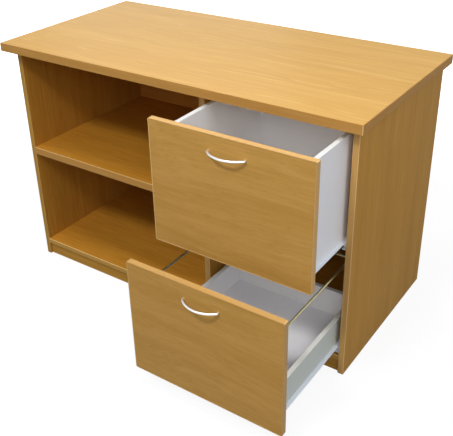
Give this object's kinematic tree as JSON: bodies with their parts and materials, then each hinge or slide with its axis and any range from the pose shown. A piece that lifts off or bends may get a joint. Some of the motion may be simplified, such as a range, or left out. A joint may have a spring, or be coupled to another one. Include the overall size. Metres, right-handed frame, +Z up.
{
  "type": "office desk credenza",
  "caption": "beech laminate office desk unit with an overhanging worktop, an open shelf bay on the left and a tray drawer over a filing drawer on the right",
  "frame": {"origin": "middle of the front plinth's underside, on the floor", "axes": "+X to the right along the worktop seen from the front, +Y from the front to the back, +Z up; the drawers open along -Y"},
  "size_m": [1.126, 0.848, 0.72],
  "materials": {
    "beech_worktop": "satin beech laminate, grain along the worktop",
    "beech_board": "satin beech laminate, grain along each board",
    "beech_edging": "satin beech edging strip, a little lighter than the boards",
    "back_board": "thin board with beech foil, satin",
    "plain_beech": "plain turned beech",
    "white_melamine": "white melamine facing, lightly textured",
    "white_epoxy_steel": "white epoxy coated steel, semi gloss",
    "nylon": "natural nylon",
    "satin_chrome": "satin chrome",
    "zinc_steel": "bright zinc plated steel"
  },
  "bodies": {
    "carcass": {"desktop": "beech_worktop", "desktop_edging": "beech_edging", "left_side_panel": "beech_board", "left_panel_edging": "beech_edging", "right_side_panel": "beech_board", "right_panel_edging": "beech_edging", "centre_divider": "beech_board", "divider_edging": "beech_edging", "middle_shelf": "beech_board", "shelf_edging": "beech_edging", "bottom_panel": "beech_board", "bottom_panel_edging": "beech_edging", "front_plinth": "beech_board", "back_panel": "back_board", "back_panel_screws": "zinc_steel", "carcass_dowels": "plain_beech", "upper_left_cabinet_runner": "white_epoxy_steel", "upper_right_cabinet_runner": "white_epoxy_steel", "lower_left_cabinet_runner": "white_epoxy_steel", "lower_right_cabinet_runner": "white_epoxy_steel", "cabinet_runner_screws": "zinc_steel"},
    "upper_drawer": {"upper_front": "beech_board", "upper_front_edging": "beech_edging", "upper_handle": "satin_chrome", "upper_handle_screws": "zinc_steel", "upper_left_side": "white_melamine", "upper_right_side": "white_melamine", "upper_back": "white_melamine", "upper_base": "white_melamine", "upper_drawer_dowels": "plain_beech", "upper_left_drawer_runner": "white_epoxy_steel", "upper_right_drawer_runner": "white_epoxy_steel", "upper_runner_screws": "zinc_steel"},
    "lower_drawer": {"lower_front": "beech_board", "lower_front_edging": "beech_edging", "lower_handle": "satin_chrome", "lower_handle_screws": "zinc_steel", "lower_left_side": "white_melamine", "lower_right_side": "white_melamine", "lower_back": "white_melamine", "lower_base": "white_melamine", "lower_drawer_dowels": "plain_beech", "lower_left_drawer_runner": "white_epoxy_steel", "lower_right_drawer_runner": "white_epoxy_steel", "lower_runner_screws": "zinc_steel", "left_file_rail": "zinc_steel", "right_file_rail": "zinc_steel", "rear_cross_rail": "zinc_steel", "left_rail_socket": "zinc_steel", "right_rail_socket": "zinc_steel", "rail_socket_screws": "zinc_steel"},
    "upper_left_front_roller_wheel": {"upper_left_front_roller": "nylon"},
    "upper_right_front_roller_wheel": {"upper_right_front_roller": "nylon"},
    "lower_left_front_roller_wheel": {"lower_left_front_roller": "nylon"},
    "lower_right_front_roller_wheel": {"lower_right_front_roller": "nylon"},
    "upper_left_rear_roller_wheel": {"upper_left_rear_roller": "nylon"},
    "upper_right_rear_roller_wheel": {"upper_right_rear_roller": "nylon"},
    "lower_left_rear_roller_wheel": {"lower_left_rear_roller": "nylon"},
    "lower_right_rear_roller_wheel": {"lower_right_rear_roller": "nylon"}
  },
  "joints": [
    {"name": "upper_drawer_slide", "type": "slide", "parent": "carcass", "child": "upper_drawer", "axis": [0, -1, 0], "range_m": [-0.18, 0.12]},
    {"name": "lower_drawer_slide", "type": "slide", "parent": "carcass", "child": "lower_drawer", "axis": [0, -1, 0], "range_m": [-0.293, 0.007]},
    {"name": "upper_left_front_roller_spin", "type": "hinge", "parent": "carcass", "child": "upper_left_front_roller_wheel", "pos_m": [0.131, 0.001, 0.38685], "axis": [1, 0, 0], "continuous": true},
    {"name": "upper_left_rear_roller_spin", "type": "hinge", "parent": "upper_drawer", "child": "upper_left_rear_roller_wheel", "pos_m": [0.1317, 0.193, 0.38765], "axis": [1, 0, 0], "continuous": true},
    {"name": "upper_right_front_roller_spin", "type": "hinge", "parent": "carcass", "child": "upper_right_front_roller_wheel", "pos_m": [0.519, 0.001, 0.38685], "axis": [1, 0, 0], "continuous": true},
    {"name": "upper_right_rear_roller_spin", "type": "hinge", "parent": "upper_drawer", "child": "upper_right_rear_roller_wheel", "pos_m": [0.5183, 0.193, 0.38765], "axis": [1, 0, 0], "continuous": true},
    {"name": "lower_left_front_roller_spin", "type": "hinge", "parent": "carcass", "child": "lower_left_front_roller_wheel", "pos_m": [0.131, 0.001, 0.0741], "axis": [1, 0, 0], "continuous": true},
    {"name": "lower_left_rear_roller_spin", "type": "hinge", "parent": "lower_drawer", "child": "lower_left_rear_roller_wheel", "pos_m": [0.1317, 0.08, 0.0749], "axis": [1, 0, 0], "continuous": true},
    {"name": "lower_right_front_roller_spin", "type": "hinge", "parent": "carcass", "child": "lower_right_front_roller_wheel", "pos_m": [0.519, 0.001, 0.0741], "axis": [1, 0, 0], "continuous": true},
    {"name": "lower_right_rear_roller_spin", "type": "hinge", "parent": "lower_drawer", "child": "lower_right_rear_roller_wheel", "pos_m": [0.5183, 0.08, 0.0749], "axis": [1, 0, 0], "continuous": true}
  ],
  "couplings": [
    {"joint": "upper_left_front_roller_spin", "follows": "upper_drawer_slide", "rad_per_m": 111.11},
    {"joint": "upper_left_rear_roller_spin", "follows": "upper_drawer_slide", "rad_per_m": 100},
    {"joint": "upper_right_front_roller_spin", "follows": "upper_drawer_slide", "rad_per_m": 111.11},
    {"joint": "upper_right_rear_roller_spin", "follows": "upper_drawer_slide", "rad_per_m": 100},
    {"joint": "lower_left_front_roller_spin", "follows": "lower_drawer_slide", "rad_per_m": 111.11},
    {"joint": "lower_left_rear_roller_spin", "follows": "lower_drawer_slide", "rad_per_m": 100},
    {"joint": "lower_right_front_roller_spin", "follows": "lower_drawer_slide", "rad_per_m": 111.11},
    {"joint": "lower_right_rear_roller_spin", "follows": "lower_drawer_slide", "rad_per_m": 100}
  ]
}
